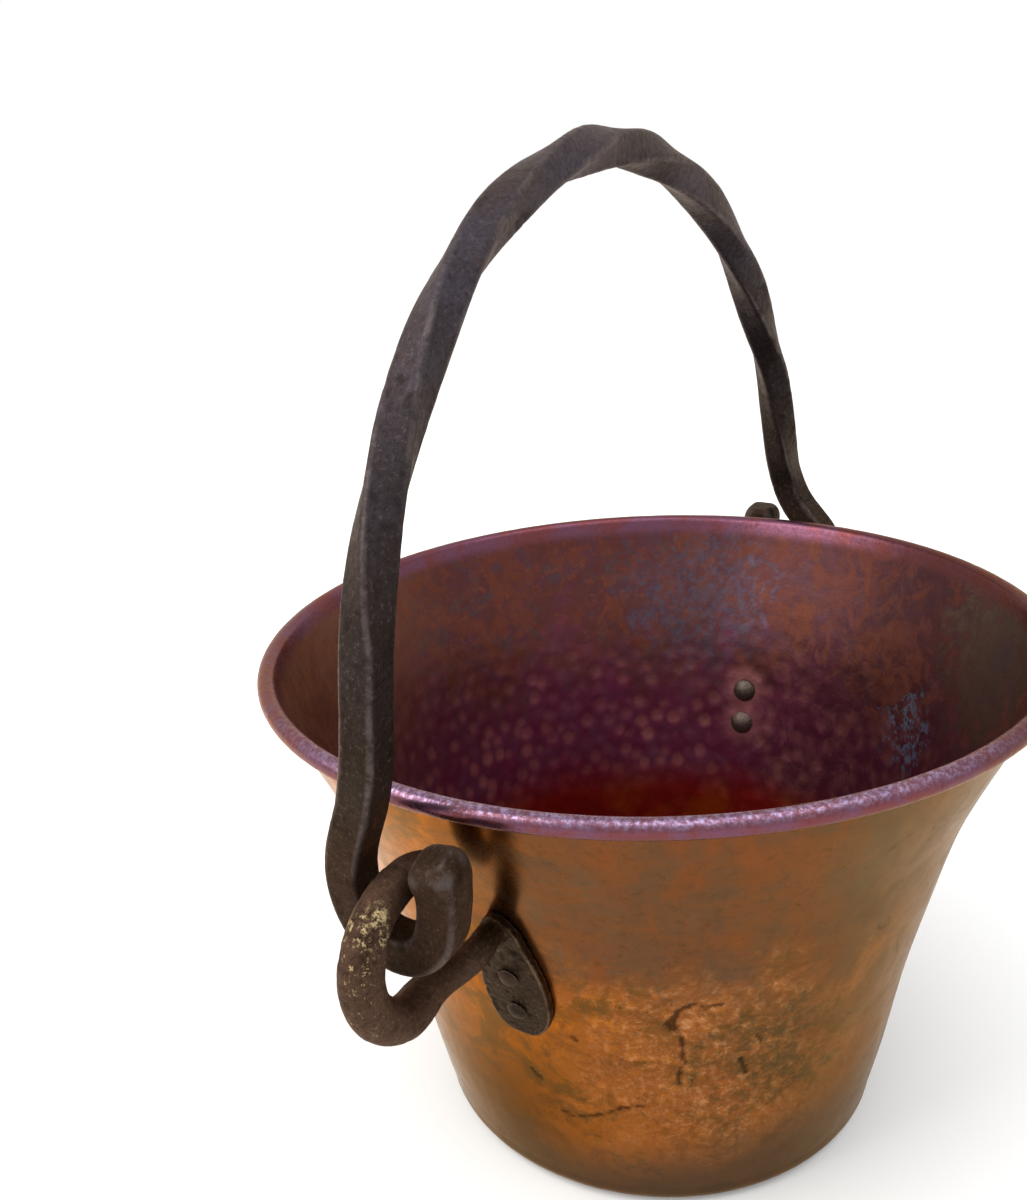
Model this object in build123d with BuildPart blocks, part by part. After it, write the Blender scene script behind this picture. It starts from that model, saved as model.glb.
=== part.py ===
"""Hammered copper pail with a wired rim, two riveted iron lugs and a twisted wrought-iron bail.

Millimetres, +Z up. The origin is the middle of the flat base. The bail swings about the line
along X through the tops of the two lug eyes. The near side is -X and the far side is +X: the
two lugs and the bail's two hooks are alike, half a turn apart about Z.
"""

import math
import os

from build123d import *

os.makedirs("parts", exist_ok=True)

# ---------------------------------------------------------------- driving dimensions
SHEET = 1.0  # copper sheet thickness
GAP = 0.05  # working gap between pieces that are riveted or rolled together

BASE_FLAT_RADIUS = 45.4  # outside radius of the flat of the base
WALL_MIDDLE = [  # radius and height of the middle of the sheet, base corner to rim
    (49.6, 5.0),
    (52.7, 20.0),
    (56.2, 40.0),
    (60.8, 60.0),
    (66.2, 80.0),
    (71.9, 94.0),
    (76.0, 103.5),
]
WALL_START_WAY = (0.19, 0.98)  # direction of the wall as it leaves the base corner

RIM_RADIUS = 79.8  # radius of the circle that the rim wire follows
RIM_HEIGHT = 109.2  # height of that circle
BEAD_RADIUS = 1.9  # outside radius of the rolled bead
BEAD_JOIN = 160.0  # angle round the bead where the wall runs into it, from outwards
BEAD_END = -122.0  # angle round the bead where the sheet's rolled edge stops

LUG_TURN = 2.3  # degrees that each lug plate sits round from the hinge line
PLATE_THICK = 2.2
PLATE_FOOT = 49.3  # height of the leaf-shaped plate's lowest point
PLATE_TOP = 81.6
PLATE_HALF_WIDTH = [  # half width and height of the plate, foot to top
    (4.0, 50.6),
    (6.2, 54.4),
    (6.9, 61.0),
    (6.3, 67.0),
    (4.6, 74.0),
    (2.6, 79.8),
]

EYE_REACH = 89.0  # distance of the eye's middle from the pail's axis
EYE_HEIGHT = 87.5  # height of the eye's middle
EYE_RADIUS = 12.5  # radius of the rod's centre line round the eye
HINGE_HEIGHT = EYE_HEIGHT + EYE_RADIUS
# Angle round the eye from outwards, and radius of the tapered rod there, root to curled end.
EYE_ROD = [
    (-112, 3.5),
    (-80, 4.0),
    (-50, 4.1),
    (-20, 4.0),
    (10, 3.9),
    (40, 3.7),
    (70, 3.5),
    (100, 3.4),
    (130, 3.4),
    (160, 3.2),
    (186, 2.9),
]
# Reach from the pail's axis, sideways place, height and rod radius where the root leaves the plate.
EYE_ROOT = [(67.9, -2.73, 77.0, 2.5), (71.3, -2.58, 77.6, 2.8), (76.5, -1.23, 75.8, 3.1)]

RIVETS = {  # side, level and height of each rivet
    "near_upper_rivet": ("near", 66.0),
    "near_lower_rivet": ("near", 57.0),
    "far_upper_rivet": ("far", 69.0),
    "far_lower_rivet": ("far", 60.5),
}
SHANK_RADIUS = 1.5
OUTER_HEAD_RADIUS = 2.2  # shank end peened over on the plate
OUTER_HEAD_RISE = 1.1
INNER_HEAD_RADIUS = 3.0  # domed head inside the pail
INNER_HEAD_RISE = 1.3
HEAD_CLEAR = 0.15  # room under a flat head on the curved wall
HOLE_DEPTH = 5.0  # how far a rivet hole is cut to each side of the sheet

BAR = 7.3  # side of the square bar at the hooks
BAR_TOP = 6.6  # side of the bar at the top of the arch
BAR_ARRIS = 1.1  # radius of its worn corners
TIPS = [  # length from a tip's rounded and spread end, side of the bar and radius of its corners there
    (0.0, 5.4, 2.2),
    (1.2, 7.6, 2.4),
    (3.4, 8.8, 2.4),
    (6.5, 8.0, 1.7),
    (11.0, BAR, BAR_ARRIS),
]
HOOK_HALF = 8.9  # sideways distance from the hinge line to each arm of a hook
HOOK_REACH = 90.2  # distance of a hook from the pail's axis
HOOK_BOTTOM = 88.0  # height of the bar's middle at the bottom of a hook
HOOK_TIPS = {  # reach, sideways place and height of the bar's middle up each tip, from its end
    "near": [(91.8, -8.8, 108.4), (90.3, -9.4, 101.0)],
    "far": [(90.6, -8.6, 111.6), (90.3, -9.3, 101.0)],
}
CRANKS = {  # the same where each leg cranks over to the arch
    "near": [(90.5, 8.6, 102.5), (90.8, 5.4, 111.5)],
    "far": [(90.2, 8.6, 102.5), (90.5, 1.4, 112.0)],
}
BAIL_SIDE = 2.5  # distance of the bail's arch to the +Y side of the hinge line
BAIL_SECTIONS = 70  # steps between the bar sections lofted from hook to hook
TWIST = [  # length along the bar from the near tip, and how far it has been twisted there
    (0, 0),
    (82, 0),
    (109, -54),
    (147, -137),
    (180, -204),
    (203, -266),
    (225, -330),
    (262, -397),
    (297, -480),
    (333, -540),
    (410, -540),
]
# Reach and height of the bar's middle along the arch.
NEAR_ARCH = [(91.0, 121.0), (89.3, 130.5), (87.2, 141.0), (83.6, 152.0), (77.5, 164.0),
             (68.0, 177.0), (54.5, 190.0), (34.5, 200.0)]
ARCH_TOP = (-6.5, 204.9)
FAR_ARCH = [(90.3, 120.5), (86.3, 129.0), (82.6, 140.0), (78.0, 151.0), (71.0, 161.0),
            (61.0, 174.0), (46.5, 187.0), (26.5, 198.0)]


def outline_shifted(points, distance):
    """The outline moved sideways by distance, to its right when positive."""
    moved = []
    for i, (r, z) in enumerate(points):
        before = points[max(i - 1, 0)]
        after = points[min(i + 1, len(points) - 1)]
        run, rise = after[0] - before[0], after[1] - before[1]
        length = math.hypot(run, rise)
        moved.append((r + distance * rise / length, z - distance * run / length))
    return moved


with BuildLine(mode=Mode.PRIVATE) as middle_line:
    wall_middle = Spline(*WALL_MIDDLE)


def wall_radius(height):
    """Radius of the middle of the sheet at a height."""
    low, high = 0.0, 1.0
    while high - low > 1e-6:
        share = (low + high) / 2
        if (wall_middle @ share).Y < height:
            low = share
        else:
            high = share
    return (wall_middle @ low).X


def on_bead(angle, radius):
    """A point of the rim section, at an angle round the bead from outwards."""
    a = math.radians(angle)
    return (RIM_RADIUS + radius * math.cos(a), RIM_HEIGHT + radius * math.sin(a))


def radial(turn):
    """Horizontal direction away from the pail's axis."""
    a = math.radians(turn)
    return Vector(math.cos(a), math.sin(a), 0)


SIDES = {"near": 180.0 + LUG_TURN, "far": LUG_TURN}


def rivet_axis(side, height):
    """Where a rivet crosses the middle of the sheet, and its outward direction."""
    slope = math.atan2(wall_radius(height + 5) - wall_radius(height - 5), 10)
    level_out = radial(SIDES[side])
    out = level_out * math.cos(slope) - Vector(0, 0, math.sin(slope))
    return level_out * wall_radius(height) + Vector(0, 0, height), out


def rivet_hole_plane(side, height):
    seat, out = rivet_axis(side, height)
    return Plane(origin=seat, z_dir=out)


# ---------------------------------------------------------------- copper shell
bead_hollow = BEAD_RADIUS - SHEET
outer_wall = outline_shifted(WALL_MIDDLE, SHEET / 2)
inner_wall = outline_shifted(WALL_MIDDLE, -SHEET / 2)
join_angle = math.radians(BEAD_JOIN)
join_way = (math.sin(join_angle), -math.cos(join_angle))
wall_ways = [WALL_START_WAY, join_way]

with BuildPart() as copper_shell:
    with BuildSketch(Plane.XZ):
        with BuildLine():
            Line((0, 0), (BASE_FLAT_RADIUS, 0))
            TangentArc((BASE_FLAT_RADIUS, 0), outer_wall[0], tangent=(1, 0))
            Spline(*outer_wall, on_bead(BEAD_JOIN, bead_hollow), tangents=wall_ways)
            CenterArc((RIM_RADIUS, RIM_HEIGHT), bead_hollow, BEAD_JOIN, BEAD_END - BEAD_JOIN)
            Line(on_bead(BEAD_END, bead_hollow), on_bead(BEAD_END, BEAD_RADIUS))
            CenterArc((RIM_RADIUS, RIM_HEIGHT), BEAD_RADIUS, BEAD_END, BEAD_JOIN - BEAD_END)
            Spline(*inner_wall, on_bead(BEAD_JOIN, BEAD_RADIUS), tangents=wall_ways)
            TangentArc((BASE_FLAT_RADIUS, SHEET), inner_wall[0], tangent=(1, 0))
            Line((BASE_FLAT_RADIUS, SHEET), (0, SHEET))
            Line((0, SHEET), (0, 0))
        make_face()
    revolve(axis=Axis.Z)
    for side, height in RIVETS.values():
        with BuildSketch(rivet_hole_plane(side, height)):
            Circle(SHANK_RADIUS + GAP)
        extrude(amount=HOLE_DEPTH, both=True, mode=Mode.SUBTRACT)

# ---------------------------------------------------------------- rim wire
with BuildPart() as rim_wire:
    with BuildSketch(Plane.XZ):
        with Locations((RIM_RADIUS, RIM_HEIGHT)):
            Circle(bead_hollow - GAP)
    revolve(axis=Axis.Z)

# ---------------------------------------------------------------- lugs
# A leaf-shaped plate that hugs the wall, drawn out at its top into a rod that curls down,
# outwards and back over into an open eye. The eye stands in the plane of the hinge line.
plate_out = radial(SIDES["near"])
plate_side = Vector(0, 0, 1).cross(plate_out)
plate_plane = Plane(origin=(0, 0, 0), x_dir=plate_side, z_dir=plate_out)
plate_inner = outline_shifted(WALL_MIDDLE, SHEET / 2 + GAP)
plate_outer = outline_shifted(WALL_MIDDLE, SHEET / 2 + GAP + PLATE_THICK)

rod = [(Vector(-reach, aside, height), radius) for reach, aside, height, radius in EYE_ROOT]
for angle, radius in EYE_ROD:
    a = math.radians(angle)
    reach = EYE_REACH + EYE_RADIUS * math.cos(a)
    rod.append((Vector(-reach, 0, EYE_HEIGHT + EYE_RADIUS * math.sin(a)), radius))

with BuildPart() as lug_blank:
    with BuildSketch(plate_plane):
        with BuildLine():
            left = [(-half, height) for half, height in reversed(PLATE_HALF_WIDTH)]
            leaf = [(0, PLATE_FOOT), *PLATE_HALF_WIDTH, (0, PLATE_TOP), *left]
            Spline(*leaf, periodic=True)
        make_face()
    extrude(amount=RIM_RADIUS)
    with BuildSketch(Plane.XZ):
        with BuildLine():
            Spline(*plate_inner)
            Line(plate_inner[-1], plate_outer[-1])
            Spline(*reversed(plate_outer))
            Line(plate_outer[0], plate_inner[0])
        make_face()
    revolve(axis=Axis.Z, mode=Mode.INTERSECT)
    with BuildLine(mode=Mode.PRIVATE) as rod_line:
        rod_path = Spline(*[point for point, _ in rod])
    for point, radius in rod:
        here = rod_path.param_at_point(point)
        with BuildSketch(Plane(origin=rod_path @ here, z_dir=rod_path % here)):
            Circle(radius)
    loft()

lugs = {}
for side, turn in SIDES.items():
    with BuildPart() as lug:
        add(lug_blank.part.rotate(Axis.Z, turn - SIDES["near"]))
        for rivet_side, height in RIVETS.values():
            if rivet_side == side:
                with BuildSketch(rivet_hole_plane(side, height)):
                    Circle(SHANK_RADIUS + GAP)
                extrude(amount=HOLE_DEPTH, both=True, mode=Mode.SUBTRACT)
    lugs[f"{side}_lug"] = lug

# ---------------------------------------------------------------- rivets
rivets = {}
for name, (side, height) in RIVETS.items():
    seat, out = rivet_axis(side, height)
    across = Vector(0, 0, 1).cross(radial(SIDES[side]))
    inside = -(SHEET / 2 + HEAD_CLEAR)
    outside = SHEET / 2 + GAP + PLATE_THICK + HEAD_CLEAR
    inner_end = inside - INNER_HEAD_RISE
    outer_end = outside + OUTER_HEAD_RISE
    with BuildPart() as rivet:
        with BuildSketch(Plane(origin=seat, x_dir=across, z_dir=across.cross(out))):
            with BuildLine():
                Line((0, inner_end), (0, outer_end))
                TangentArc((0, outer_end), (OUTER_HEAD_RADIUS, outside), tangent=(1, 0))
                Line((OUTER_HEAD_RADIUS, outside), (SHANK_RADIUS, outside))
                Line((SHANK_RADIUS, outside), (SHANK_RADIUS, inside))
                Line((SHANK_RADIUS, inside), (INNER_HEAD_RADIUS, inside))
                TangentArc((0, inner_end), (INNER_HEAD_RADIUS, inside), tangent=(1, 0))
            make_face()
        revolve(axis=Axis(seat, out))
    rivets[name] = rivet

# ---------------------------------------------------------------- bail
# One square bar: hooked through each eye, cranked over to the arch, and twisted round the top.
def hook_points(side):
    """The bar's middle from the tip of a hook up to its crank."""
    low = HOOK_BOTTOM + HOOK_HALF
    points = list(HOOK_TIPS[side])
    for angle in (180, 225, 270, 315, 360):
        a = math.radians(angle)
        points.append((HOOK_REACH, HOOK_HALF * math.cos(a), low + HOOK_HALF * math.sin(a)))
    points += CRANKS[side]
    half_turn = -1 if side == "near" else 1
    return [Vector(half_turn * reach, -half_turn * aside, z) for reach, aside, z in points]


near_half = hook_points("near") + [Vector(-reach, BAIL_SIDE, z) for reach, z in NEAR_ARCH]
far_half = hook_points("far") + [Vector(reach, BAIL_SIDE, z) for reach, z in FAR_ARCH]
arch_top = Vector(ARCH_TOP[0], BAIL_SIDE, ARCH_TOP[1])
with BuildLine(mode=Mode.PRIVATE) as bail_line:
    bail_path = Spline(*near_half, arch_top, *reversed(far_half))


def twist_at(length):
    """Twist of the bar at a length from the near tip."""
    for (l0, t0), (l1, t1) in zip(TWIST, TWIST[1:]):
        if length <= l1:
            return t0 + (t1 - t0) * (length - l0) / (l1 - l0)
    return TWIST[-1][1]


def bar_size(length):
    """Side and corner radius of the bar at a length from the near tip."""
    from_end = min(length, bail_path.length - length)
    for (l0, side0, arris0), (l1, side1, arris1) in zip(TIPS, TIPS[1:]):
        if from_end <= l1:
            share = (from_end - l0) / (l1 - l0)
            return side0 + (side1 - side0) * share, arris0 + (arris1 - arris0) * share
    return BAR - (BAR - BAR_TOP) * math.sin(math.pi * length / bail_path.length), BAR_ARRIS


tip_lengths = [tip[0] for tip in TIPS[:-1]]
first = TIPS[-1][0]
section_step = (bail_path.length - 2 * first) / BAIL_SECTIONS
section_lengths = tip_lengths + [first + section_step * step for step in range(BAIL_SECTIONS + 1)]
section_lengths += [bail_path.length - length for length in reversed(tip_lengths)]

with BuildPart() as bail:
    face_way = Vector(1, 0, 0)  # way that one side of the bar faces, before it is twisted
    for length in section_lengths:
        share = length / bail_path.length
        along = bail_path % share
        face_way = (face_way - along * face_way.dot(along)).normalized()
        bar_side, arris = bar_size(length)
        with BuildSketch(Plane(origin=bail_path @ share, x_dir=face_way, z_dir=along)):
            RectangleRounded(bar_side, bar_side, arris, rotation=twist_at(length))
    loft()

# ---------------------------------------------------------------- pieces
pieces = {"copper_shell": copper_shell, "rim_wire": rim_wire, **lugs, **rivets, "bail": bail}
for name, piece in pieces.items():
    piece.part.label = name
    export_step(piece.part, f"parts/{name}.step")
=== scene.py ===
"""The looks of a hammered copper pail with a forged iron bail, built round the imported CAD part."""

import math

import bpy
import numpy as np
from mathutils import Matrix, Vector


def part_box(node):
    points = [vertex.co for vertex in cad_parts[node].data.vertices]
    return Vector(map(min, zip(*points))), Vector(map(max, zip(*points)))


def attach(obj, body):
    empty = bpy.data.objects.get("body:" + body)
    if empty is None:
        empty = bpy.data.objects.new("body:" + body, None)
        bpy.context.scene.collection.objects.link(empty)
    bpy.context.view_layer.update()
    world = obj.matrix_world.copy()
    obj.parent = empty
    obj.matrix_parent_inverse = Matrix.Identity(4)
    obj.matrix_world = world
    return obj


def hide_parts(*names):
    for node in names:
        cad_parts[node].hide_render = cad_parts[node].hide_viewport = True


MM = 0.001

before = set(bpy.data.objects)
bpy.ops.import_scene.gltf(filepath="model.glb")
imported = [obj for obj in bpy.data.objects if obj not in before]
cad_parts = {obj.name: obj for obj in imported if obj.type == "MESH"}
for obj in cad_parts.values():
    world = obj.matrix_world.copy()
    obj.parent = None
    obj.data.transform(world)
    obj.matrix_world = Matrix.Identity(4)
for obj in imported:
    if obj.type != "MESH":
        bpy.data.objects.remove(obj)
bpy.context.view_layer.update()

# ---------------------------------------------------------------- driving values, in millimetres
SHEET = 1.0
BASE_FLAT_RADIUS = 45.4
WALL_MIDDLE = [  # radius and height of the middle of the sheet, base corner to rim
    (49.6, 5.0),
    (52.7, 20.0),
    (56.2, 40.0),
    (60.8, 60.0),
    (66.2, 80.0),
    (71.9, 94.0),
    (76.0, 103.5),
]
RIM_RADIUS = 79.8
RIM_HEIGHT = 109.2
BEAD_RADIUS = 1.9
BEAD_JOIN = 160.0  # degrees round the bead where the wall runs into it, from outwards
BEAD_END = -122.0  # degrees round the bead where the curl ends
AROUND = 760  # steps round the pail
WALL_STEP = 0.8  # length of a step up the wall

MARKED_RADIUS = 62  # radius at which a hammer mark is as wide as it is high
PLANISH_SIZE = 4.5  # width of a hammer mark inside
PLANISH_DEPTH = 0.20
OUTER_MARK_SIZE = 5.6
OUTER_MARK_DEPTH = 0.04
BEAD_PIT_DEPTH = 0.06
MARKS_FADE = (70, 92)  # heights between which the inner marks grow faint
FAINT_MARK = 0.25  # share of their depth that is left above that
CRACK_DEPTH = 0.05
CRACKS_FROM = 5  # height where the cracks may start
BASE_HEIGHT = 3  # height below which a point may be on the base
BASE_MARKS = 0.30  # share of the marks' depth on the base
BRUISE_REACH = 5.2  # how far the rubbed copper reaches round a rivet

RIVETS = ["near_upper_rivet", "near_lower_rivet", "far_upper_rivet", "far_lower_rivet"]

# Lines on the wall, each with its width. Their points are degrees round from +X and height.
DEGREE = 1.02  # length of one degree round the wall
CRACKS = [
    ([(217.5, 60.8), (215.0, 60.2), (213, 61.5), (210.5, 60), (209.4, 57.5), (209.8, 54.5)], 0.34),
    ([(209.4, 57.5), (208.6, 56.4), (209.0, 55.0)], 0.60),
    ([(209.8, 54.5), (211, 52), (211.4, 49), (211.2, 46)], 0.26),
    ([(211.2, 46), (212.0, 44.6), (211, 43.5), (210.6, 41), (210.9, 38.6)], 0.28),
    ([(186, 26.2), (189, 25.6), (194.5, 27.6), (199, 30.5), (203.5, 32)], 0.16),
    ([(180.3, 36.2), (181.3, 35.0), (182.4, 34.4)], 0.40),
    ([(191.0, 50.0), (191.8, 48.9)], 0.30),
    ([(222.5, 44.0), (223.4, 41.5), (224.0, 39.5)], 0.42),
    ([(225.0, 50.5), (226.0, 48.0)], 0.24),
]

# Patches, each as degrees round, radius, height and reach.
SCALY_PATCH = (215, 58, 48, 36)
DAMP_PATCH = (228, 57, 44, 20)
BLUE_PATCH = (15, 70, 92, 24)
GLINT_PATCH = (318, 62, 74, 11)
DUSKY_PATCH = (297, 77, 100, 27)
# where the painted highlight specks gather, on the near lug's ring
HIGHLIGHT_PATCH = (181, 100, 98.0, 4.8)

# The direction across the pail's near side, from the near lug to the right, as X and Y.
ACROSS = (0.445, -0.895)
# The direction from the pail's axis out to the middle of that side.
FRONT = (-0.895, -0.445)

# ---------------------------------------------------------------- numbers from points
SEED_STRIDE = 7919  # cells between the noises of neighbouring seeds


def lattice_noise(points, size, seed):
    """Smooth noise from -1 to 1 at each point, with features of about that size."""
    place = points / size
    low = np.floor(place).astype(np.int64)
    part = place - low
    part = part * part * (3 - 2 * part)
    total = np.zeros(len(points))
    for corner in np.ndindex(2, 2, 2):
        cell = low + np.array(corner)
        weight = np.prod(np.where(corner, part, 1 - part), axis=1)
        total += weight * cell_value(cell[:, 0], cell[:, 1], cell[:, 2] + SEED_STRIDE * seed)
    return 2 * total - 1


def cell_value(i, j, k):
    """A fixed number from 0 to 1 for each cell, from its scattered bits."""
    mixed = (i * 374761393 + j * 668265263 + k * 2147483647) & 0xFFFFFFFF
    mixed = ((mixed ^ (mixed >> 13)) * 1274126177) & 0xFFFFFFFF
    mixed = ((mixed ^ (mixed >> 16)) * 2246822519) & 0xFFFFFFFF
    return ((mixed ^ (mixed >> 15)) & 0xFFFFFF) / 0xFFFFFF


def smooth_step(value, low, high):
    share = np.clip((value - low) / (high - low), 0, 1)
    return share * share * (3 - 2 * share)


def natural_spline(points, step):
    """Points about a step apart along the smooth line through points."""
    p = np.array(points, float)
    t = np.concatenate([[0], np.cumsum(np.linalg.norm(np.diff(p, axis=0), axis=1))])
    matrix, right = np.eye(len(p)), np.zeros_like(p)
    for i in range(1, len(p) - 1):
        before, after = t[i] - t[i - 1], t[i + 1] - t[i]
        matrix[i, i - 1 : i + 2] = before, 2 * (before + after), after
        right[i] = 6 * ((p[i + 1] - p[i]) / after - (p[i] - p[i - 1]) / before)
    bend = np.linalg.solve(matrix, right)
    u = np.linspace(0, t[-1], round(t[-1] / step) + 1)
    i = np.clip(np.searchsorted(t, u) - 1, 0, len(p) - 2)
    span = (t[i + 1] - t[i])[:, None]
    a = (t[i + 1] - u)[:, None] / span
    c = 1 - a
    curved = ((a**3 - a) * bend[i] + (c**3 - c) * bend[i + 1]) * span**2 / 6
    return a * p[i] + c * p[i + 1] + curved


def hammer_marks(turn, up, size, seed):
    """Scattered hammer marks of about that size, over points given by turn and distance up.

    Gives each point's distance to the nearest mark as a share of the marks' spacing, and a number
    from 0 to 1 that is that mark's own."""
    count = round(2 * math.pi * MARKED_RADIUS / size)
    column, row = turn / (2 * math.pi) * count, up / size
    nearest = np.full(len(turn), 9.0)
    which = np.zeros(len(turn))
    for i in (-1, 0, 1):
        for j in (-1, 0, 1):
            cell_row = np.floor(row).astype(np.int64) + j
            shifted = column + 0.5 * (cell_row % 2)
            cell = np.floor(shifted).astype(np.int64) + i
            wrapped = cell % count
            aside = 0.15 + 0.7 * cell_value(wrapped, cell_row, seed * 3)
            above = 0.15 + 0.7 * cell_value(wrapped, cell_row, seed * 3 + 1)
            apart = np.hypot(shifted - cell - aside, row - cell_row - above)
            closer = apart < nearest
            nearest = np.where(closer, apart, nearest)
            which = np.where(closer, cell_value(wrapped, cell_row, seed * 3 + 2), which)
    return nearest, which


# ---------------------------------------------------------------- meshes


def new_piece(name, mesh):
    piece = bpy.data.objects.new(name, mesh)
    bpy.context.scene.collection.objects.link(piece)
    return piece


def paint(mesh, name, values):
    """Keeps one number for each vertex, for the material to read."""
    mesh.attributes.new(name, "FLOAT", "POINT").data.foreach_set("value", values.astype(np.float32))


def section_normals(points):
    """The normal at each point of a line of radii and heights, to the right of its way."""
    way = np.gradient(points, axis=0)
    return np.stack([way[:, 1], -way[:, 0]], axis=1) / np.linalg.norm(way, axis=1)[:, None]


def wall_lines():
    """The sheet's outer and inner faces, from base corner to bead."""
    join = math.radians(BEAD_JOIN)
    middle_of_join = BEAD_RADIUS - SHEET / 2
    last = (
        RIM_RADIUS + middle_of_join * math.cos(join),
        RIM_HEIGHT + middle_of_join * math.sin(join),
    )
    middle = natural_spline([*WALL_MIDDLE, last], WALL_STEP)
    half_sheet = section_normals(middle) * SHEET / 2
    return middle + half_sheet, middle - half_sheet


def base_line(level, corner):
    """From the middle of the base along its flat and up round its corner."""
    flat = [(radius, level) for radius in np.linspace(0, BASE_FLAT_RADIUS, 46)]
    run, rise = corner[0] - BASE_FLAT_RADIUS, corner[1] - level
    bend = (run * run + rise * rise) / (2 * rise)
    turns = np.linspace(0, math.asin(run / bend), 9)[1:-1]
    return flat + [
        (BASE_FLAT_RADIUS + bend * math.sin(a), level + bend * (1 - math.cos(a))) for a in turns
    ]


def bead_arc(start, end, radius, steps):
    angles = np.radians(np.linspace(start, end, steps))
    return [(RIM_RADIUS + radius * math.cos(a), RIM_HEIGHT + radius * math.sin(a)) for a in angles]


def shell_section():
    """The shell's closed section, from the base's underside out, up and back inside.

    Gives its points as radii and heights, and the name of each point's part."""
    outer, inner = wall_lines()
    parts = [
        ("outside", base_line(0.0, outer[0]) + [tuple(p) for p in outer[:-1]]),
        ("hollow", bead_arc(BEAD_JOIN, BEAD_END, BEAD_RADIUS - SHEET, 16)),
        ("bead", bead_arc(BEAD_END, BEAD_JOIN, BEAD_RADIUS, 34)),
        ("inside", [tuple(p) for p in inner[-2::-1]] + base_line(SHEET, inner[0])[::-1]),
    ]
    points = np.array([p for _, stretch in parts for p in stretch])
    names = np.array([name for name, stretch in parts for _ in stretch])
    return points, names


def around_axis(radius, turn, height):
    return np.stack([radius * np.cos(turn), radius * np.sin(turn), height], axis=1)


def dent(nearest, which, depth):
    """Depth of a round shallow hammer mark, deepest in its middle and different from mark to mark."""
    return depth * (0.45 + 0.55 * which) * (1 - smooth_step(nearest, 0.0, 0.75))


def crack_share(turn, height):
    """How dark the wall is along its cracks and stains, 0 to 1, at turns in degrees and heights."""
    wander = 0.30 * lattice_noise(np.stack([turn, height, turn * 0], axis=1), 1.1, 31)
    dark = np.zeros(len(turn))
    for line, width in CRACKS:
        for (a0, z0), (a1, z1) in zip(line, line[1:]):
            start = np.array([a0 * DEGREE, z0])
            run = np.array([a1 * DEGREE, z1]) - start
            place = np.stack([turn * DEGREE, height], axis=1) - start
            share = np.clip(place @ run / (run @ run), 0, 1)
            apart = np.linalg.norm(place - share[:, None] * run, axis=1) + wander
            dark = np.maximum(dark, 1 - smooth_step(apart, width * 0.5, width + 0.45))
    return dark


def bruise_share(place):
    """1 on a rivet and down to 0 a little way round it."""
    bruise = np.zeros(len(place))
    for node in RIVETS:
        low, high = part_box(node)
        middle = np.array((low + high) / 2) / MM
        apart = np.linalg.norm(place - middle, axis=1)
        bruise = np.maximum(bruise, np.exp(-((apart / BRUISE_REACH) ** 4)))
    return bruise


def shell_faces(rings):
    """Quads between neighbouring rings, and triangles to the middles of the base's two faces."""
    here = np.arange(rings - 1)[:, None] * AROUND + np.arange(AROUND)[None, :]
    along = np.arange(rings - 1)[:, None] * AROUND + np.roll(np.arange(AROUND), -1)[None, :]
    quads = np.stack([here, along, along + AROUND, here + AROUND], axis=2).reshape(-1, 4)
    step = np.arange(AROUND)
    next_step = np.roll(step, -1)
    last = (rings - 1) * AROUND
    under = np.stack([next_step, step, np.full(AROUND, rings * AROUND)], axis=1)
    floor = np.stack([last + step, last + next_step, np.full(AROUND, rings * AROUND + 1)], axis=1)
    return quads.tolist() + under.tolist() + floor.tolist()


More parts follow.
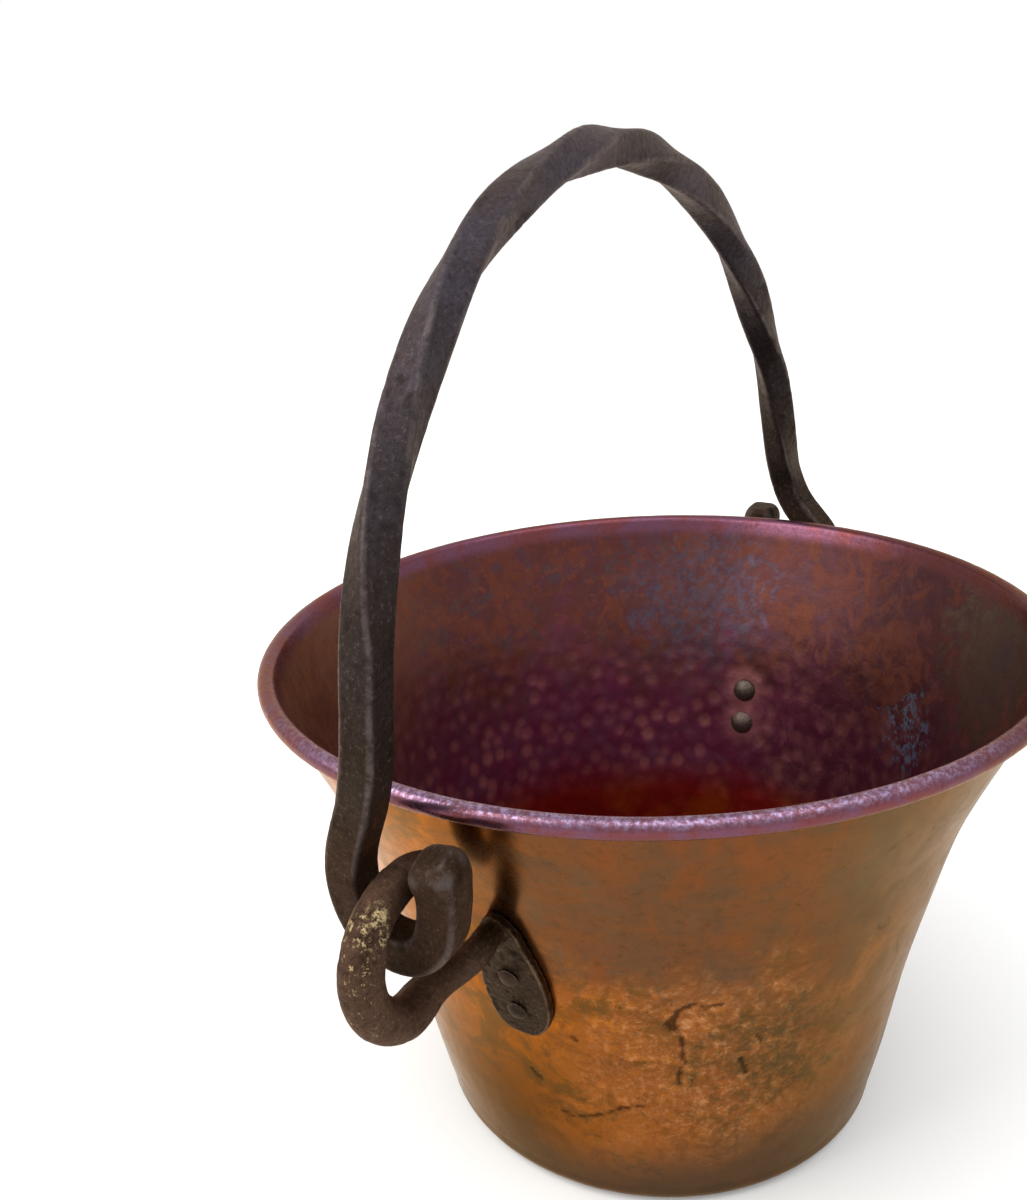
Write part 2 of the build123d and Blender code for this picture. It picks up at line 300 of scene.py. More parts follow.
def make_shell():
    """The shell as rings of its section's points, hammered, with the numbers its material reads."""
    points, names = shell_section()
    normals = section_normals(points)[1:-1]
    rings = len(points) - 2
    turn = np.tile(np.linspace(0, 2 * math.pi, AROUND, endpoint=False), rings)
    radius = np.repeat(points[1:-1, 0], AROUND)
    height = np.repeat(points[1:-1, 1], AROUND)
    part = np.repeat(names[1:-1], AROUND)
    place = around_axis(radius, turn, height)

    inside, outside, bead = part == "inside", part == "outside", part == "bead"
    on_base = (height < BASE_HEIGHT) & (radius < BASE_FLAT_RADIUS + 2)
    up = np.where(on_base, -radius, height)
    nearest, which = hammer_marks(turn, up, PLANISH_SIZE, 5)
    strength = FAINT_MARK + (1 - FAINT_MARK) * (1 - smooth_step(height, *MARKS_FADE))
    strength *= np.where(on_base, BASE_MARKS * smooth_step(radius, 12, 40), 1)
    outer_marks = dent(*hammer_marks(turn, up, OUTER_MARK_SIZE, 11), OUTER_MARK_DEPTH)
    dark = crack_share(np.degrees(turn), height) * outside * (height > CRACKS_FROM)
    pits = np.clip(lattice_noise(place, 1.2, 3) - 0.15, 0, 1)
    pits += 0.6 * np.clip(lattice_noise(place, 2.9, 4), 0, 1)

    sunk = np.zeros(len(turn))
    sunk[inside] = (dent(nearest, which, PLANISH_DEPTH) * strength)[inside]
    sunk[outside] = (outer_marks * np.where(on_base, BASE_MARKS, 1) + CRACK_DEPTH * dark)[outside]
    sunk[bead] = (BEAD_PIT_DEPTH * pits)[bead]
    moved_radius = radius - sunk * np.repeat(normals[:, 0], AROUND)
    moved_height = height - sunk * np.repeat(normals[:, 1], AROUND)
    base_middles = [(0, 0, points[0, 1]), (0, 0, points[-1, 1])]
    vertices = np.vstack([around_axis(moved_radius, turn, moved_height), base_middles]) * MM

    mesh = bpy.data.meshes.new("copper_shell_hammered")
    mesh.from_pydata(vertices.tolist(), [], shell_faces(rings))
    mesh.polygons.foreach_set("use_smooth", [True] * len(mesh.polygons))

    def paint_shell(name, values, on_floor=0):
        """Paints the rings' values, and those of the two middles of the base."""
        paint(mesh, name, np.concatenate([values, [0, on_floor]]))

    down = np.clip((RIM_HEIGHT - height) / 3, 0, 1)
    mark = (1 - smooth_step(nearest, 0.0, 0.74)) * (0.25 + 0.75 * which) * strength
    paint_shell("inner_face", np.where(inside | bead, 1.0, 0.0), on_floor=1)
    paint_shell("rim", np.where(inside, 1 - smooth_step(down, 0.1, 1), 1.0 * bead))
    paint_shell("mark", np.where(inside, mark, 0))
    paint_shell("crack", dark)
    paint_shell("bruise", bruise_share(place))
    return mesh


def relaxed(points, edges, rounds):
    """The points, each moved halfway to the mean of its neighbours, so many times over."""
    ends = np.concatenate([edges[:, 0], edges[:, 1]])
    others = np.concatenate([edges[:, 1], edges[:, 0]])
    neighbours = np.bincount(ends, minlength=len(points))[:, None]
    for _ in range(rounds):
        total = [np.bincount(ends, points[others, axis], len(points)) for axis in range(3)]
        points = (points + np.stack(total, axis=1) / neighbours) / 2
    return points


def read_vectors(vertices, name):
    """The vertices' places or normals, as rows of three."""
    values = np.zeros(len(vertices) * 3)
    vertices.foreach_get(name, values)
    return values.reshape(-1, 3)


def worked_iron(node, name, voxel, sunk, pit_depth):
    """A fine copy of a CAD node with hammered, pitted faces.

    Its attributes say how far each point stands proud, and how pitted it is."""
    piece = new_piece(name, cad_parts[node].data.copy())
    remesh = piece.modifiers.new("fine", "REMESH")
    remesh.mode = "VOXEL"
    remesh.voxel_size = voxel * MM
    evaluated = piece.evaluated_get(bpy.context.evaluated_depsgraph_get())
    mesh = bpy.data.meshes.new_from_object(evaluated)
    piece.modifiers.clear()
    piece.data = mesh
    mesh.name = name
    mesh.materials.clear()
    edges = np.zeros(len(mesh.edges) * 2, np.int64)
    mesh.edges.foreach_get("vertices", edges)
    edges = edges.reshape(-1, 2)

    points = relaxed(read_vectors(mesh.vertices, "co") / MM, edges, 4)
    mesh.vertices.foreach_set("co", (points * MM).ravel())
    mesh.update()
    normals = read_vectors(mesh.vertices, "normal")
    proud = np.einsum("ij,ij->i", points - relaxed(points, edges, 30), normals)

    waves = 0.65 * lattice_noise(points, 13.0, 1) + 0.35 * lattice_noise(points, 5.0, 2)
    forging = 0.5 + 0.5 * waves
    patches = smooth_step(lattice_noise(points, 8.0, 5), -0.35, 0.5)
    pits = np.clip(lattice_noise(points, 1.3, 6) - 0.1, 0, 1)
    pits += 0.5 * np.clip(lattice_noise(points, 2.6, 7), 0, 1)
    pits *= 0.25 + 0.75 * patches
    grain = 0.5 + 0.5 * lattice_noise(points, 0.8, 8)
    depth = sunk * forging + pit_depth * (pits + 0.12 * grain)
    moved = points - normals * depth[:, None]
    mesh.vertices.foreach_set("co", (moved * MM).ravel())
    mesh.update()
    mesh.polygons.foreach_set("use_smooth", [True] * len(mesh.polygons))
    paint(mesh, "proud", np.clip(proud / (0.75 * voxel), -1, 1))
    paint(mesh, "pitted", np.clip(pits, 0, 1))
    return piece


# ---------------------------------------------------------------- colours


def colour(red, green, blue):
    """A colour given as the 0 to 255 values of a screen."""
    shares = [value / 255 for value in (red, green, blue)]
    linear = [s / 12.92 if s <= 0.04045 else ((s + 0.055) / 1.055) ** 2.4 for s in shares]
    return (*linear, 1.0)


AMBER, DARK_AMBER = colour(164, 88, 6), colour(134, 74, 12)
TAN, DARK_TAN = colour(152, 92, 40), colour(138, 80, 36)
PALE_FLAKE, SCALE_EDGE = colour(188, 136, 94), colour(112, 62, 30)
OLIVE_BROWN, OLIVE, DAMP_GREEN = colour(88, 60, 28), colour(82, 60, 26), colour(60, 52, 30)
UMBER = colour(100, 58, 22)
TARNISH, GREY_TARNISH = colour(100, 61, 36), colour(86, 62, 44)
RED_BAND, GREY_BAND = colour(116, 60, 28), colour(84, 70, 54)
WIPED, DARK_FLECK, GREEN_BROWN = colour(112, 62, 26), colour(64, 46, 28), colour(80, 66, 40)
CORNER, FOOT = colour(66, 38, 8), colour(68, 53, 42)
STAIN, CRACK = colour(52, 40, 20), colour(36, 26, 15)

WINE, VIOLET, MARK_HIGHLIGHT = colour(112, 42, 72), colour(102, 50, 76), colour(158, 96, 98)
PLUM, BROWN_PLUM, PURPLE = colour(76, 40, 45), colour(84, 43, 40), colour(80, 44, 54)
GREY_OXIDE, RED_OXIDE, RED_SPOT = colour(66, 56, 62), colour(98, 49, 36), colour(112, 58, 40)
SHADED, SHADED_RED, BROWN_SIDE = colour(54, 28, 34), colour(86, 45, 35), colour(122, 76, 52)
# colours of the painted reflection of the copper base on the lower inner wall
RED_REFLECTION, ORANGE_REFLECTION = colour(128, 26, 22), colour(150, 58, 12)
FLOOR_RED, FLOOR_BROWN = colour(118, 60, 36), colour(92, 48, 38)
FLOOR_DARK, FLOOR_PALE = colour(62, 42, 34), colour(140, 82, 52)
BLUE_GREY, BLUE_GLINT = colour(68, 70, 88), colour(96, 116, 140)
DUSKY_OLIVE, DUSKY_GREY, RUBBED_PINK = colour(76, 62, 52), colour(62, 52, 52), colour(170, 112, 112)

BEAD_RED, BEAD_VIOLET = colour(108, 58, 62), colour(104, 66, 84)
BEAD_HIGHLIGHT, BEAD_DARK, BEAD_BROWN = colour(168, 152, 186), colour(66, 36, 42), colour(82, 40, 32)

# the first colour is the painted shade on the far side's iron
FAR_SHADE, PIT_IRON, GRIT_IRON = colour(30, 26, 26), colour(24, 15, 10), colour(26, 18, 13)
# the colour of the painted highlight specks on the iron
HIGHLIGHT_SPECK = colour(196, 176, 132)

# ---------------------------------------------------------------- materials


class Finish:
    """A material whose nodes are added by short calls. A value may be a number, a colour or a socket.

    Places and sizes are millimetres in the pail's own frame."""

    def __init__(self, name):
        self.material = bpy.data.materials.new(name)
        self.material.use_nodes = True
        self.tree = self.material.node_tree
        self.shader = self.tree.nodes["Principled BSDF"]
        metres = self.add("ShaderNodeTexCoord").outputs["Object"]
        inputs = {0: metres, "Scale": 1 / MM}
        self.place = self.add("ShaderNodeVectorMath", inputs, operation="SCALE").outputs[0]
        self.x, self.y, self.z = self.add("ShaderNodeSeparateXYZ", {0: self.place}).outputs
        self.across = self.along(ACROSS)

    def add(self, kind, inputs=None, **settings):
        """A new node. Its settings come first, because they decide which sockets it has."""
        node = self.tree.nodes.new(kind)
        for name, value in settings.items():
            setattr(node, name, value)
        for key, value in (inputs or {}).items():
            self.put(node.inputs[key], value)
        return node

    def put(self, socket, value):
        """Links a socket's value, or sets it when it is a number or a colour."""
        if isinstance(value, bpy.types.NodeSocket):
            self.tree.links.new(value, socket)
        else:
            socket.default_value = value

    def math(self, operation, first, second=0.0):
        return self.add("ShaderNodeMath", {0: first, 1: second}, operation=operation).outputs[0]

    def plus(self, first, second):
        return self.math("ADD", first, second)

    def times(self, first, second):
        return self.math("MULTIPLY", first, second)

    def along(self, way):
        """How far each place lies along a level direction from the pail's axis."""
        return self.plus(self.times(self.x, way[0]), self.times(self.y, way[1]))

    def attribute(self, name):
        return self.add("ShaderNodeAttribute", attribute_name=name).outputs["Fac"]

    def noise(self, size, detail, rough=0.6, stretch=None, distortion=0.0):
        """Noise about 0.5 whose features are about size across."""
        place = self.place
        if stretch:
            inputs = {0: place, 1: stretch}
            place = self.add("ShaderNodeVectorMath", inputs, operation="MULTIPLY").outputs[0]
        inputs = {
            "Vector": place,
            "Scale": 1.0 / size,
            "Detail": detail,
            "Roughness": rough,
            "Distortion": distortion,
        }
        return self.add("ShaderNodeTexNoise", inputs).outputs["Fac"]

    def cells(self, size):
        """Distance to the nearest of scattered points about size apart, as a share of size."""
        inputs = {"Vector": self.place, "Scale": 1.0 / size}
        return self.add("ShaderNodeTexVoronoi", inputs).outputs["Distance"]

    def step(self, value, low, high, start=0.0, end=1.0):
        """value turned smoothly from start at low to end at high."""
        inputs = {"Value": value, "From Min": low, "From Max": high, "To Min": start, "To Max": end}
        return self.add("ShaderNodeMapRange", inputs, interpolation_type="SMOOTHSTEP").outputs[0]

    def mix(self, share, first, second):
        """Two colours mixed, by the sockets that a Mix node keeps for colours."""
        inputs = {0: share, 6: first, 7: second}
        return self.add("ShaderNodeMix", inputs, data_type="RGBA").outputs[2]

    def blend(self, share, first, second):
        """Two numbers mixed."""
        inputs = {0: share, 2: first, 3: second}
        return self.add("ShaderNodeMix", inputs, data_type="FLOAT").outputs[0]

    def mottle(self, noise, softness, first, second):
        """Two colours side by side in patches, with edges that are wider when softness is more."""
        return self.mix(self.step(noise, 0.5 - softness, 0.5 + softness), first, second)

    def shifted(self, value, noise, amount):
        """value moved up and down by a noise about 0.5, by up to half of amount."""
        return self.plus(value, self.times(self.math("SUBTRACT", noise, 0.5), amount))

    def patch_at(self, patch, noise):
        """1 in the middle of a patch, down to 0 at about its reach, with a ragged edge."""
        turn, radius, height, reach = patch
        a = math.radians(turn)
        inputs = {0: self.place, 1: (radius * math.cos(a), radius * math.sin(a), height)}
        apart = self.add("ShaderNodeVectorMath", inputs, operation="DISTANCE").outputs["Value"]
        return self.step(self.shifted(apart, noise, 2.4 * reach), 0.45 * reach, reach, 1, 0)

    def bump(self, height, distance, strength=1.0, below=None):
        inputs = {"Height": height, "Distance": distance * MM, "Strength": strength}
        if below is not None:
            inputs["Normal"] = below
        return self.add("ShaderNodeBump", inputs).outputs["Normal"]

    def set_shader(self, **values):
        """Sets or links the shader's inputs, with their names' spaces as underscores."""
        for name, value in values.items():
            self.put(self.shader.inputs[name.replace("_", " ")], value)


def bright_copper(finish, patch, speckle, across):
    """The wiped lower wall: amber at the left, tan to the right, with a scaly, stained middle."""
    amber = finish.mottle(patch, 0.14, AMBER, DARK_AMBER)
    tan = finish.mottle(patch, 0.14, TAN, DARK_TAN)
    scaly = finish.patch_at(SCALY_PATCH, patch)
    flakes = finish.step(finish.noise(1.3, 5, 0.8), 0.47, 0.60)
    flakes = finish.times(flakes, finish.plus(finish.times(scaly, 0.45), 0.22))
    tan = finish.mix(flakes, tan, PALE_FLAKE)
    bright = finish.mix(finish.step(across, -28, 8), amber, tan)
    bright = finish.mix(finish.step(across, 14, 48, 0, 0.85), bright, OLIVE_BROWN)
    scales = finish.step(finish.cells(3.4), 0.30, 0.62)
    bright = finish.mix(finish.times(scales, finish.times(scaly, 0.5)), bright, SCALE_EDGE)
    umber = finish.shifted(finish.noise(7, 5, 0.75, distortion=0.7), speckle, 0.3)
    bright = finish.mix(finish.step(umber, 0.50, 0.62, 0, 0.55), bright, UMBER)
    olive = finish.noise(15, 5, 0.7, distortion=1.0)
    bright = finish.mix(finish.step(olive, 0.50, 0.62, 0, 0.7), bright, OLIVE)
    damp = finish.patch_at(DAMP_PATCH, patch)
    damp = finish.times(damp, finish.step(speckle, 0.38, 0.60, 0.2, 0.75))
    return finish.mix(damp, bright, DAMP_GREEN)


def brown_copper(finish, patch, speckle, across):
    """The tarnished upper wall, in upright bands and with level wiping marks."""
    brown = finish.mottle(patch, 0.12, TARNISH, GREY_TARNISH)
    bands = finish.noise(15, 4, 0.6, stretch=(1, 1, 0.2))
    brown = finish.mix(finish.step(bands, 0.50, 0.62, 0, 0.65), brown, RED_BAND)
    brown = finish.mix(finish.step(bands, 0.38, 0.47, 0.55, 0), brown, GREY_BAND)
    wiped = finish.noise(6, 4, 0.6, stretch=(0.25, 0.25, 2.6))
    brown = finish.mix(finish.step(wiped, 0.45, 0.68, 0, 0.4), brown, WIPED)
    brown = finish.mix(finish.step(speckle, 0.50, 0.72, 0, 0.5), brown, DARK_FLECK)
    return finish.mix(finish.step(across, 10, 60, 0, 0.6), brown, GREEN_BROWN)


def outside_copper(finish):
    """Colour and roughness of the wiped, tarnished outside of the pail."""
    cloud = finish.noise(34, 5, 0.6, distortion=0.6)
    patch = finish.noise(11, 5, 0.65, distortion=0.8)
    speckle = finish.noise(2.2, 4, 0.7)
    across = finish.shifted(finish.across, cloud, 50)
    crack = finish.attribute("crack")

    level = finish.plus(finish.z, finish.times(finish.across, 0.22))
    level = finish.shifted(finish.shifted(level, cloud, 60), patch, 26)
    tarnish = finish.times(finish.step(level, 56, 80), finish.step(across, -48, -14, 0.08, 1.0))
    bright = bright_copper(finish, patch, speckle, across)
    brown = brown_copper(finish, patch, speckle, across)
    skin = finish.mix(finish.times(tarnish, 0.94), bright, brown)

    corner = finish.step(finish.shifted(finish.z, patch, 24), 16, 58, 0.95, 0)
    corner = finish.times(corner, finish.step(finish.across, -34, -6, 1, 0))
    skin = finish.mix(corner, skin, CORNER)
    low = finish.plus(finish.z, finish.times(finish.across, -0.16))
    skin = finish.mix(finish.step(finish.shifted(low, patch, 18), 6, 27, 0.92, 0), skin, FOOT)
    stain = finish.step(finish.noise(7, 6, 0.75, distortion=1.5), 0.60, 0.72, 0, 0.65)
    skin = finish.mix(stain, skin, STAIN)
    skin = finish.mix(finish.times(crack, 0.72), skin, CRACK)

    rough = finish.step(patch, 0.3, 0.7, 0.17, 0.27)
    rough = finish.plus(rough, finish.step(across, -45, 10, 0.0, 0.10))
    rough = finish.plus(rough, finish.times(stain, 0.2))
    rough = finish.plus(rough, finish.times(crack, 0.4))
    return skin, rough


def planished_copper(finish, cloud, patch, speckle):
    """The wine-coloured lower part of the inside, with painted highlights in the hammer marks."""
    deep = finish.mottle(patch, 0.12, WINE, VIOLET)
    mark = finish.shifted(finish.attribute("mark"), speckle, 0.5)
    # Painted highlight: the middles of the hammer marks are paler, as where they catch the light.
    mark_highlight = finish.step(mark, 0.10, 0.80)
    mark_highlight = finish.times(mark_highlight, finish.step(cloud, 0.36, 0.56, 0.25, 0.8))
    return finish.mix(mark_highlight, deep, MARK_HIGHLIGHT)


def oxidised_copper(finish, cloud, patch):
    """The upper part of the inside, in red, purple and grey oxides."""
    upper = finish.mix(finish.step(patch, 0.36, 0.62), PLUM, BROWN_PLUM)
    purple = finish.noise(13, 4, 0.6, distortion=0.9)
    upper = finish.mix(finish.step(purple, 0.46, 0.60, 0, 0.7), upper, PURPLE)
    grey = finish.noise(10, 5, 0.7, distortion=1.3)
    upper = finish.mix(finish.step(grey, 0.52, 0.62, 0, 0.6), upper, GREY_OXIDE)
    red = finish.shifted(finish.noise(6, 4, 0.7, distortion=0.3), cloud, 0.5)
    upper = finish.mix(finish.step(red, 0.46, 0.62, 0, 0.75), upper, RED_OXIDE)
    spots = finish.noise(2.8, 4, 0.65)
    return finish.mix(finish.step(spots, 0.54, 0.68, 0, 0.5), upper, RED_SPOT)


def floor_copper(finish, patch, speckle):
    """The inner face of the base, in mottled brown."""
    floor = finish.mottle(patch, 0.12, FLOOR_RED, FLOOR_BROWN)
    floor = finish.mix(finish.step(finish.noise(12, 5, 0.7), 0.50, 0.66, 0, 0.75), floor, FLOOR_DARK)
    return finish.mix(finish.step(speckle, 0.54, 0.70, 0, 0.5), floor, FLOOR_PALE)


def inside_copper(finish):
    """Colour and roughness of the oxidised inside of the pail."""
    cloud = finish.noise(26, 5, 0.6, distortion=0.7)
    patch = finish.noise(7, 5, 0.7, distortion=0.9)
    speckle = finish.noise(2.0, 4, 0.7)
    across = finish.shifted(finish.across, cloud, 40)

    level = finish.shifted(finish.shifted(finish.z, cloud, 60), patch, 24)
    deep = planished_copper(finish, cloud, patch, speckle)
    wall = finish.mix(finish.step(level, 58, 90), deep, oxidised_copper(finish, cloud, patch))
    side = finish.mix(finish.step(patch, 0.46, 0.60), SHADED, SHADED_RED)
    wall = finish.mix(finish.step(across, 4, 44, 0, 0.6), wall, side)
    wall = finish.mix(finish.step(across, -74, -46, 0.6, 0), wall, BROWN_SIDE)
    # Painted reflection: the lower inner wall is coloured red and orange for the copper base's light
    # reflected onto it.
    painted_reflection = finish.mottle(cloud, 0.08, RED_REFLECTION, ORANGE_REFLECTION)
    wall = finish.mix(finish.step(finish.shifted(finish.z, cloud, 14), 38, 51, 1, 0), wall, painted_reflection)
    floor = floor_copper(finish, patch, speckle)
    wall = finish.mix(finish.step(finish.shifted(finish.z, patch, 8), 3, 14, 0.95, 0), wall, floor)

    blue = finish.patch_at(BLUE_PATCH, patch)
    blue = finish.times(blue, finish.step(speckle, 0.40, 0.66, 0.1, 0.6))
    wall = finish.mix(blue, wall, BLUE_GREY)
    # Painted highlight: bluish glints on the inner wall at the right.
    glint = finish.patch_at(GLINT_PATCH, patch)
    glint = finish.times(glint, finish.step(speckle, 0.46, 0.60, 0, 0.8))
    wall = finish.mix(glint, wall, BLUE_GLINT)
    dusky = finish.mottle(patch, 0.10, DUSKY_OLIVE, DUSKY_GREY)
    wall = finish.mix(finish.times(finish.patch_at(DUSKY_PATCH, patch), 0.85), wall, dusky)
    wall = finish.mix(finish.times(finish.attribute("bruise"), 0.6), wall, RUBBED_PINK)
    return wall, finish.step(patch, 0.3, 0.7, 0.32, 0.48)


def rim_copper(finish):
    """Colour and roughness of the rim's bead, with a painted highlight in pale flecks on top at the
    near side.
    """
    patch = finish.noise(9, 5, 0.65, distortion=0.6)
    speckle = finish.noise(0.9, 4, 0.75)
    skin = finish.mottle(patch, 0.10, BEAD_RED, BEAD_VIOLET)
    # Painted highlight: pale flecks along the top of the bead at the near side.
    near = finish.times(finish.step(finish.along(FRONT), 30, 76), finish.step(finish.z, 109.4, 111.0))
    wear_and_highlight = finish.times(finish.step(speckle, 0.42, 0.68, 0.1, 0.85), near)
    skin = finish.mix(wear_and_highlight, skin, BEAD_HIGHLIGHT)
    skin = finish.mix(finish.step(speckle, 0.28, 0.44, 0.5, 0), skin, BEAD_DARK)
    skin = finish.mix(finish.step(finish.across, 40, 72, 0, 0.75), skin, BEAD_BROWN)
    return skin, finish.step(speckle, 0.35, 0.65, 0.38, 0.24)


def make_copper():
    """The shell's material, whose inner face, bead and outer face are told apart by attributes."""
    finish = Finish("hammered_copper")
    outer, outer_rough = outside_copper(finish)
    inner, inner_rough = inside_copper(finish)
    bead, bead_rough = rim_copper(finish)
    inward, rim = finish.attribute("inner_face"), finish.attribute("rim")
    uneven = finish.blend(inward, 0.12, 0.40)
    fine = finish.bump(finish.noise(0.7, 3, 0.65), 0.05, finish.blend(inward, 0.18, 0.35))
    dents = finish.bump(finish.noise(3.6, 3, 0.55), 0.16, uneven, fine)
    finish.set_shader(
        Base_Color=finish.mix(rim, finish.mix(inward, outer, inner), bead),
        Roughness=finish.blend(rim, finish.blend(inward, outer_rough, inner_rough), bead_rough),
        Metallic=finish.blend(rim, finish.blend(inward, 0.98, 0.75), 0.9),
        Specular_Tint=(1.0, 0.80, 0.62, 1.0),
        Normal=finish.bump(finish.noise(1.6, 4, 0.7), 0.08, uneven, dents),
    )
    return finish.material


def make_iron(name, skins, low_skin, low_share, rust, worn, rust_share, roughness):
    """Dark forged iron: two skin colours, another where low_share says, rust, and worn arrises.

    low_share takes the finish and gives the share of the low skin's colour at each place."""
    finish = Finish(name)
    cloud = finish.noise(24, 5, 0.6, distortion=0.5)
    patch = finish.noise(6, 5, 0.7, distortion=0.7)
    speckle = finish.noise(1.1, 3, 0.7)
    grit = finish.noise(0.8, 4, 0.8)
    flecks = finish.noise(1.7, 5, 0.85)
    proud, pitted = finish.attribute("proud"), finish.attribute("pitted")
    reach = finish.math("ABSOLUTE", finish.x)

    skin = finish.mottle(cloud, 0.10, *skins)
    skin = finish.mix(finish.step(patch, 0.50, 0.72, 0, rust_share), skin, rust)
    skin = finish.mix(low_share(finish), skin, low_skin)
    # Painted shade: the iron on the far side of the pail is darkened.
    skin = finish.mix(finish.step(finish.x, 20, 80, 0, 0.4), skin, FAR_SHADE)
    hooked = finish.step(finish.shifted(finish.z, speckle, 16), 104, 118, 0.7, 0)
    hooked = finish.times(hooked, finish.step(reach, 76, 84))
    skin = finish.mix(hooked, skin, rust)
    skin = finish.mix(finish.times(pitted, 0.55), skin, PIT_IRON)
    skin = finish.mix(finish.step(grit, 0.36, 0.48, 0.45, 0), skin, GRIT_IRON)
    skin = finish.mix(finish.step(grit, 0.54, 0.70, 0, 0.40), skin, worn)
    wear_and_highlight = finish.times(finish.step(proud, 0.45, 1.0), finish.step(patch, 0.36, 0.62, 0.15, 1.0))
    skin = finish.mix(finish.times(wear_and_highlight, 0.5), skin, worn)
    # Painted highlights: pale glinting specks on the outermost part of the iron and in a patch on the
    # near lug's ring.
    outmost = finish.times(finish.step(reach, 96.5, 100.5), finish.step(finish.z, 84, 92, 0.35, 1.0))
    highlight_specks = finish.times(outmost, finish.step(flecks, 0.585, 0.645))
    gathered = finish.times(finish.patch_at(HIGHLIGHT_PATCH, patch), finish.step(flecks, 0.50, 0.60))
    highlight_specks = finish.math("MAXIMUM", highlight_specks, gathered)
    skin = finish.mix(finish.times(highlight_specks, 0.85), skin, HIGHLIGHT_SPECK)

    rough = finish.step(speckle, 0.3, 0.7, roughness + 0.06, roughness - 0.08)
    rough = finish.plus(rough, finish.times(pitted, 0.18))
    rough = finish.plus(rough, finish.times(hooked, 0.25))
    fine = finish.bump(grit, 0.14, 0.9, finish.bump(speckle, 0.16, 0.8))
    finish.set_shader(
        Base_Color=skin,
        Roughness=finish.plus(rough, finish.times(wear_and_highlight, -0.1)),
        Metallic=finish.blend(wear_and_highlight, 0.85, 0.95),
        Specular_IOR_Level=0.20,
        Specular_Tint=(1.0, 0.86, 0.74, 1.0),
        Normal=finish.bump(finish.noise(3.2, 4, 0.65), 0.16, 0.45, fine),
    )
    return finish.material


def low_on_bail(finish):
    """The lower arms and hooks of the bail."""
    return finish.step(finish.shifted(finish.z, finish.noise(18, 4), 50), 120, 178, 0.95, 0)


def on_plate(finish):
    """A lug's plate, close to the wall."""
    return finish.step(finish.math("ABSOLUTE", finish.x), 71, 78, 0.92, 0)


def on_inner_heads(finish):
    """The rivets' heads inside the pail."""
    return finish.step(finish.math("ABSOLUTE", finish.x), 62.5, 62.8, 0.85, 0)


# ---------------------------------------------------------------- the object

bail_iron = make_iron(
    "bail_iron",
    skins=(colour(64, 58, 66), colour(54, 48, 51)),
    low_skin=colour(39, 29, 21),
    low_share=low_on_bail,
    rust=colour(62, 43, 30),
    worn=colour(104, 94, 92),
    rust_share=0.4,
    roughness=0.50,
)
lug_iron = make_iron(
    "lug_iron",
    skins=(colour(76, 58, 50), colour(64, 50, 40)),
    low_skin=colour(30, 18, 6),
    low_share=on_plate,
    rust=colour(80, 58, 46),
    worn=colour(122, 100, 78),
    rust_share=0.55,
    roughness=0.50,
)
rivet_iron = make_iron(
    "rivet_iron",
    skins=(colour(54, 42, 34), colour(46, 36, 28)),
    low_skin=colour(112, 98, 92),
    low_share=on_inner_heads,
    rust=colour(56, 36, 22),
    worn=colour(96, 84, 74),
    rust_share=0.35,
    roughness=0.46,
)

shell = new_piece("hammered_copper_shell", make_shell())
shell.data.materials.append(make_copper())
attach(shell, "pail")
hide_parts("copper_shell")

bail = worked_iron("bail", "forged_bail", 0.42, sunk=0.22, pit_depth=0.10)
bail.data.materials.append(bail_iron)
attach(bail, "bail")
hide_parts("bail")

for side in ("near", "far"):
    lug = worked_iron(f"{side}_lug", f"forged_{side}_lug", 0.30, sunk=0.16, pit_depth=0.30)
    lug.data.materials.append(lug_iron)
    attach(lug, "pail")
    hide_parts(f"{side}_lug")

for node in RIVETS:
    rivet = worked_iron(node, f"hammered_{node}", 0.12, sunk=0.05, pit_depth=0.05)
    rivet.data.materials.append(rivet_iron)
    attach(rivet, "pail")
    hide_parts(node)

# The wire is sealed in the bead, so its own CAD shape is enough.
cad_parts["rim_wire"].data.materials.clear()
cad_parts["rim_wire"].data.materials.append(rivet_iron)

# ---------------------------------------------------------------- floor, light and camera, in metres
FLOOR_HALF = 60.0  # far enough for its edge not to show as a horizon
LIT_HEIGHT = 0.09  # height of the point that the lights face
CAMERA_PLACE = (-0.21757, -0.10824, 0.20728)
CAMERA_HEADING = -54.95  # degrees round from +Y
CAMERA_TILT = 90 - 22.776  # degrees up from straight down
CAMERA_ROLL = -4.869


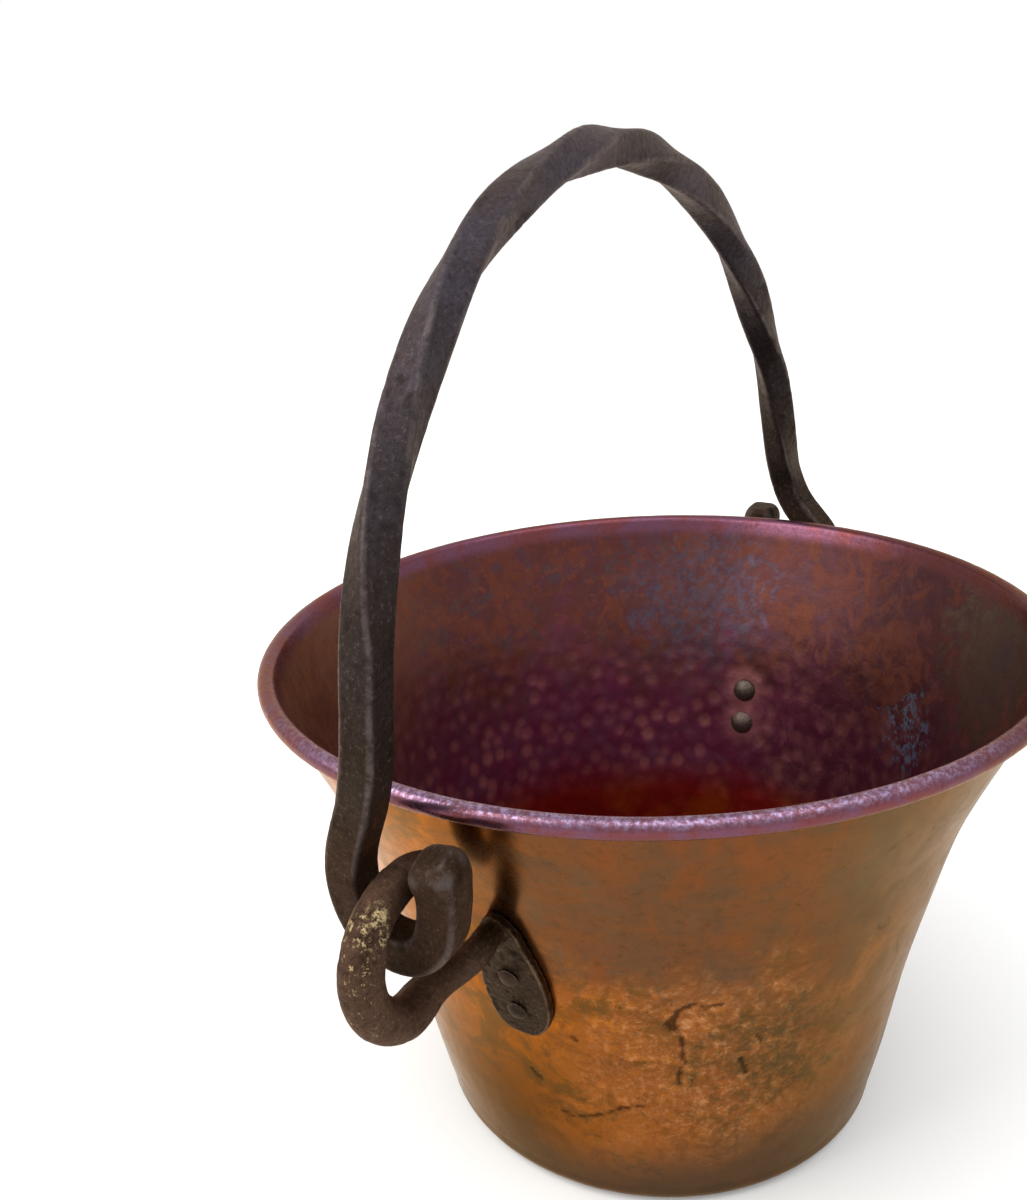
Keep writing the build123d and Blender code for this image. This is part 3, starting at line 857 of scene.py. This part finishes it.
def make_floor():
    mesh = bpy.data.meshes.new("floor")
    corners = [(x * FLOOR_HALF, y * FLOOR_HALF, 0) for x, y in ((-1, -1), (1, -1), (1, 1), (-1, 1))]
    mesh.from_pydata(corners, [], [(0, 1, 2, 3)])
    floor = new_piece("floor", mesh)
    paper = bpy.data.materials.new("pale_floor")
    paper.use_nodes = True
    sockets = paper.node_tree.nodes["Principled BSDF"].inputs
    sockets["Base Color"].default_value = (0.93, 0.93, 0.925, 1)
    sockets["Roughness"].default_value = 0.9
    sockets["Emission Color"].default_value = (1, 1, 1, 1)
    sockets["Emission Strength"].default_value = 0.075
    mesh.materials.append(paper)


def soft_light(name, turn, climb, distance, size, watts, tint):
    """A square soft light that faces the pail from a direction, in degrees."""
    lamp = bpy.data.lights.new(name, "AREA")
    lamp.shape = "SQUARE"
    lamp.size = size
    lamp.energy = watts
    lamp.color = tint
    light = bpy.data.objects.new(name, lamp)
    bpy.context.scene.collection.objects.link(light)
    around = Matrix.Rotation(math.radians(turn), 4, "Z")
    facing = around @ Matrix.Rotation(math.radians(90 - climb), 4, "Y")
    out = Matrix.Translation((0, 0, distance))
    light.matrix_world = Matrix.Translation((0, 0, LIT_HEIGHT)) @ facing @ out


def make_world():
    world = bpy.data.worlds.new("studio")
    world.use_nodes = True
    world.node_tree.nodes["Background"].inputs["Color"].default_value = (1.0, 1.0, 1.0, 1)
    world.node_tree.nodes["Background"].inputs["Strength"].default_value = 1.0
    bpy.context.scene.world = world


def make_camera():
    """A camera that stands at the near side of the pail and looks down into it."""
    lens = bpy.data.cameras.new("camera")
    lens.lens = 36.77
    lens.sensor_width = 36.0
    lens.shift_x = 0.0321
    lens.shift_y = 0.0498
    lens.clip_start = 0.01
    camera = bpy.data.objects.new("camera", lens)
    bpy.context.scene.collection.objects.link(camera)
    heading = Matrix.Rotation(math.radians(CAMERA_HEADING), 4, "Z")
    tilt = Matrix.Rotation(math.radians(CAMERA_TILT), 4, "X")
    roll = Matrix.Rotation(math.radians(CAMERA_ROLL), 4, "Z")
    camera.matrix_world = Matrix.Translation(CAMERA_PLACE) @ heading @ tilt @ roll
    bpy.context.scene.camera = camera


make_floor()
make_world()
soft_light("key", turn=140, climb=42, distance=0.95, size=0.70, watts=6, tint=(1.0, 0.97, 0.92))
soft_light("top", turn=250, climb=74, distance=1.10, size=0.90, watts=4, tint=(0.96, 0.98, 1.0))
make_camera()
bpy.context.scene.view_settings.view_transform = "Standard"
